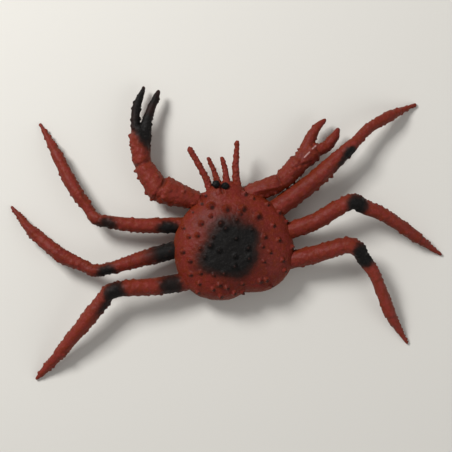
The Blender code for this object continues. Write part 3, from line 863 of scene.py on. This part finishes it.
def nearest(path, spot):
    # Share of a path's length at the row nearest a point in plan
    lengths = travelled(path)
    away = [(Vector(row[:2]) - Vector(spot)).length for row in path]
    return lengths[away.index(min(away))] / lengths[-1]


def onEdges(angle, first, second, width=24):
    # The strengths of a limb's two edges, each fading over width degrees
    return sum(strength * bell((math.degrees(angle) - centre + 180) % 360 - 180, width)
               for strength, centre in ((first, 0), (second, 180)))


def limbRelief(seed):
    return dict(pebbleShape, Seed=seed + 20), dict(toothShape, Seed=seed)


def buildLeg(name, leg, seed):
    path = legPath(leg)
    knee = nearest(path, leg["points"][1])
    ankle = nearest(path, leg["points"][2])
    grooves = (knee - legShape["grooveFromKnee"], knee + legShape["grooveFromKnee"])

    def section(share, angle):
        past = share - ankle
        collar = bell(past - legShape["collarPlace"], legShape["collarWidth"])
        step = min(max(past / legShape["stepWidth"], 0.0), 1.0)
        toe = step * math.exp(-max(past, 0.0) / legShape["toeFade"])
        knees = sum(bell(share - place, legShape["stepWidth"]) for place in grooves)
        return (1 + legShape["ridge"] * math.cos(3 * (angle - math.pi / 2)) + legShape["collar"] * collar
                - legShape["toeStep"] * toe - legShape["kneeGroove"] * knees)

    def teeth(share, angle):
        first, second = leg["teeth"][:2] if share < knee else leg["teeth"][2:]
        return onEdges(angle, first, second) * (share > legShape["toothlessRoot"])

    def pebbles(share, angle):
        atRoot, atTip = legShape["pebbles"]
        return atRoot + (atTip - atRoot) * share

    base = meshFrom(loft(path, legShape["sides"], section, {"teeth": teeth, "pebbles": pebbles}), name)
    piece = addObject(name, base.copy())
    growScattered(piece, base, limbRelief(seed))
    drawStrokes(piece, leg.get("strokes", ()))
    growSpots(piece, leg.get("spikes", ()), spikeShape)
    kneePoint, shin = np.array(leg["points"][1]), np.subtract(leg["points"][2], leg["points"][1])
    along = (points(piece.data)[:, :2] - kneePoint) @ shin / (shin @ shin)
    onShin = smoothStep(*legShape["shinStart"], along)
    thighBrightening, shinBrightening = leg["thin"]
    finishPiece(piece, seed, thighBrightening + (shinBrightening - thighBrightening) * onShin, leg["spray"])


for number, (name, leg) in enumerate(legs.items(), 1):
    buildLeg(name, leg, number)


# Arms with their pincers

armShape = {
    "sides": 36, "ridge": 0.03, "voxel": 0.38, "softening": 2,
    "plump": ((0.0, 0.6), (0.06, 0.84), (0.16, 0.99), (0.5, 1.02), (0.84, 1.0), (0.94, 0.86), (1.0, 0.6)),
    "barrel": {"rings": 50, "teeth": (0.28, 0.28), "toothedTo": 1.0, "pebbles": 0.6},
    "finger": {"rings": 60, "teeth": (0.42, 0.25), "toothedTo": 0.85, "pebbles": 0.3},
}
# barrels: the plump sections, each with its start, end and the radii there
# fingers: x, y, z and radius along each finger
# spikes and knobs: x, y and size
arms = {
    "leftArm": {
        "barrels": (((10.0, -29.0, 10.0), (38.8, -45.0, 15.0), 4.3, 9.3),
                    ((38.3, -40.2, 15.0), (47.6, -64.0, 14.0), 8.0, 5.6),
                    ((47.2, -60.8, 14.0), (45.2, -84.0, 12.0), 5.6, 6.3)),
        "fingers": (((47.5, -79.0, 12.0, 3.5), (46.4, -89.6, 11.0, 2.9), (44.3, -98.6, 9.8, 2.7),
                     (40.9, -104.8, 8.4, 2.3), (37.2, -110.6, 6.8, 1.3)),
                    ((42.8, -78.0, 12.0, 4.5), (39.4, -88.2, 11.5, 3.4), (34.7, -96.8, 10.6, 2.7),
                     (30.9, -102.5, 9.8, 2.2), (28.4, -106.4, 9.0, 1.4))),
        "strokes": ((33.8, -49.8, 42.9, -40.0, 1.2, -0.9), (51.8, -61.3, 42.6, -63.4, 1.2, -0.8),
                    (51.0, -84.0, 45.5, -85.5, 0.9, -0.4)),
        "spikes": ((52.9, -59.3, 1.0), (51.6, -54.5, 1.1), (48.1, -43.8, 1.1), (45.9, -39.3, 1.0),
                   (51.6, -82.4, 1.3), (52.9, -76.1, 1.2), (38.9, -73.4, 1.0), (27.5, -101.2, 1.0),
                   (33.2, -88.9, 0.8), (35.3, -86.4, 0.8)),
        "knobs": ((32.3, -42.6, 0.9), (24.2, -40.2, 0.8), (38.2, -39.0, 1.1), (19.9, -31.4, 0.6),
                  (38.5, -53.0, 1.0), (33.7, -50.6, 0.8), (29.4, -49.3, 0.8)),
        "spray": ((47.0, -98.0, 7.0, 15.0, 12.0, 0.7, 3.4), (35.0, -96.0, 9.0, 16.0, 20.0, 0.62, 3.4),
                  (40.5, -84.0, 5.2, 8.0, 0.0, 0.88, 4.2), (41.0, -77.5, 4.5, 7.5, 0.0, 0.5, 4.5),
                  (33.0, -107.0, 12.0, 8.0, 0.0, 0.55, 3.0)),
        "thin": 0.4, "seed": 60,
    },
    "rightArm": {
        "barrels": (((-11.0, -29.3, 10.0), (-40.0, -34.8, 14.0), 6.2, 5.9),
                    ((-36.0, -33.0, 14.0), (-53.5, -45.6, 13.0), 5.6, 6.2),
                    ((-50.6, -43.2, 13.0), (-63.0, -51.2, 11.8), 5.5, 6.9)),
        "fingers": (((-57.0, -50.5, 12.0, 4.6), (-61.2, -57.4, 11.3, 3.8), (-66.0, -63.2, 10.3, 2.9),
                     (-70.2, -66.6, 9.3, 2.1), (-72.8, -68.1, 8.6, 1.4)),
                    ((-61.5, -49.5, 12.0, 4.4), (-70.2, -51.2, 11.2, 3.6), (-75.6, -55.1, 10.8, 3.3),
                     (-79.0, -58.8, 10.3, 2.3), (-80.2, -60.4, 10.0, 1.6))),
        "strokes": ((-20.0, -31.5, -39.6, -32.0, 1.0, 0.5), (-22.0, -28.2, -38.5, -28.8, 2.2, -0.9),
                    (-36.6, -38.7, -36.7, -30.4, 1.2, -0.7), (-47.3, -41.7, -59.0, -43.1, 1.1, -0.8),
                    (-55.2, -47.0, -63.9, -52.9, 0.9, 0.4), (-52.5, -45.0, -58.0, -53.0, 1.3, -0.35)),
        "spikes": ((-51.2, -36.3, 1.2), (-46.2, -32.6, 1.0), (-41.2, -44.0, 0.8), (-38.0, -42.4, 0.7),
                   (-47.5, -48.6, 0.7), (-52.0, -54.0, 0.7)),
        "knobs": ((-46.9, -39.6, 1.3), (-37.8, -37.5, 0.9)),
        # the painted glint along the seam ridges
        "seamGlints": ((-55.2, -47.0, -58.9, -49.5, 0.42, 0.9), (-61.2, -51.3, -63.9, -52.9, 0.45, 0.9)),
        "thin": 0.15, "seed": 80,
    },
}


def buildArm(name, arm, seed):
    def section(share, angle):
        return 1 + armShape["ridge"] * math.cos(3 * (angle - math.pi / 2))

    def limb(stations, kind):
        masks = {"teeth": lambda share, angle: onEdges(angle, *kind["teeth"]) * (share <= kind["toothedTo"]),
                 "pebbles": lambda share, angle: kind["pebbles"]}
        return meshFrom(loft(smoothPath(stations, kind["rings"]), armShape["sides"], section, masks), name)

    meshes = []
    for start, end, startRadius, endRadius in arm["barrels"]:
        stations = [(*Vector(start).lerp(Vector(end), share),
                     (startRadius + (endRadius - startRadius) * share) * fullness)
                    for share, fullness in armShape["plump"]]
        meshes.append(limb(stations, armShape["barrel"]))
    meshes += [limb(stations, armShape["finger"]) for stations in arm["fingers"]]
    piece = mould(name, meshes, armShape["voxel"], armShape["softening"])
    growScattered(piece, joined(meshes, name + "Carrier"), limbRelief(seed))
    drawStrokes(piece, arm["strokes"])
    growSpots(piece, arm["knobs"], knobShape)
    growSpots(piece, arm["spikes"], spikeShape)
    finishPiece(piece, seed, arm["thin"], arm.get("spray", ()), arm.get("seamGlints", ()))


for name, arm in arms.items():
    buildArm(name, arm, arm["seed"])


# Feelers

feelers = {
    "paths": (
        ((7.0, -37.0, 15.5, 2.4), (9.6, -49.3, 17.5, 2.0), (15.2, -65.6, 20.5, 1.7)),
        ((1.6, -39.0, 16.5, 2.0), (2.9, -49.4, 17.5, 1.6), (4.8, -57.6, 19.5, 1.2)),
        ((-3.6, -38.5, 16.5, 2.4), (-4.3, -49.3, 17.5, 1.7), (-3.6, -56.4, 19.5, 1.2)),
        ((-9.4, -36.0, 15.5, 2.8), (-11.2, -48.9, 17.5, 2.1), (-15.1, -64.3, 20.5, 1.4)),
    ),
    "sides": 24, "rings": 60, "voxel": 0.32, "softening": 1, "thin": 0.6, "seed": 9, "lumpiness": 0.75,
    "lumps": {"Mask": "lumps", "Spacing": 1.9, "Reach": 1.3, "Height": 0.45, "Roundness": 0.7,
              "Size Spread": 0.45, "Seed": 90},
}


def buildFeelers():
    masks = {"lumps": lambda share, angle: feelers["lumpiness"]}
    meshes = []
    for stations in feelers["paths"]:
        path = smoothPath(stations, feelers["rings"])
        meshes.append(meshFrom(loft(path, feelers["sides"], lambda share, angle: 1.0, masks), "feeler"))
    piece = mould("feelers", meshes, feelers["voxel"], feelers["softening"])
    growScattered(piece, joined(meshes, "feelerCarrier"), [feelers["lumps"]])
    finishPiece(piece, feelers["seed"], feelers["thin"])


buildFeelers()


# Eyes

eyes = {"centres": ((3.2, -40.9, 21.6), (-2.4, -38.6, 21.6)), "halfSize": (2.5, 2.4, 2.7),
        "segments": 48, "lumpSize": 1.4, "uneven": 0.35}


def buildEyes():
    shape = bmesh.new()
    for centre in eyes["centres"]:
        shape.from_mesh(ball(centre, eyes["halfSize"], eyes["segments"]))
    for vertex in shape.verts:
        vertex.co += vertex.normal * noise.noise(vertex.co / eyes["lumpSize"]) * eyes["uneven"]
    piece = addObject("eyes", meshFrom(shape, "eyes"))
    piece.data.materials.append(lacquer)
    settle(piece)


buildEyes()
print("pieces made")


# Floor, light and camera

stageLook = {"floorSize": 4.0, "floorColour": "#D9D6CF", "floorRoughness": 0.9, "skyStrength": 0.28,
             "keySize": 0.35, "keyPlace": (0.48, -0.71, 0.85), "keyPower": 13.4,
             "fillSize": 0.9, "fillPlace": (-0.8, 0.6, 0.7), "fillPower": 3.3}
# The photo looks straight down with the crab turned by 11 degrees. Its middle and scale give the camera's
# place, in millimetres.
cameraPlace = {"x": 1.99, "y": -13.63, "height": 800.0, "turn": 169.0, "seenWidth": 293.8, "sensor": 36.0}


def buildStage():
    shape = bmesh.new()
    bmesh.ops.create_grid(shape, x_segments=1, y_segments=1, size=stageLook["floorSize"] / 2)
    floor = addObject("floor", meshFrom(shape, "floor"))
    card, _, shader = newMaterial("matPaleCard")
    shader.inputs["Base Color"].default_value = linearColour(stageLook["floorColour"])
    shader.inputs["Roughness"].default_value = stageLook["floorRoughness"]
    floor.data.materials.append(card)


def addLight(name, place, size, power):
    light = bpy.data.lights.new(name, "AREA")
    light.size = size
    light.energy = power
    lamp = addObject(name, light)
    lamp.location = place
    lamp.rotation_euler = (-Vector(place)).to_track_quat("-Z", "Y").to_euler()


def buildLights():
    world = bpy.data.worlds.new("studio")
    world.use_nodes = True
    world.node_tree.nodes["Background"].inputs["Strength"].default_value = stageLook["skyStrength"]
    world.node_tree.nodes["Background"].inputs["Color"].default_value = (1.0, 1.0, 1.0, 1.0)
    bpy.context.scene.world = world
    addLight("keySoftbox", stageLook["keyPlace"], stageLook["keySize"], stageLook["keyPower"])
    addLight("fillSoftbox", stageLook["fillPlace"], stageLook["fillSize"], stageLook["fillPower"])
    bpy.context.scene.view_settings.view_transform = "Standard"


def buildCamera():
    lens = bpy.data.cameras.new("camera")
    lens.sensor_width = cameraPlace["sensor"]
    lens.lens = cameraPlace["sensor"] * cameraPlace["height"] / cameraPlace["seenWidth"]
    camera = addObject("camera", lens)
    camera.location = Vector((cameraPlace["x"], cameraPlace["y"], cameraPlace["height"])) * mm
    camera.rotation_euler = (0.0, 0.0, math.radians(cameraPlace["turn"]))
    bpy.context.scene.camera = camera


buildStage()
buildLights()
buildCamera()
print("stage set")
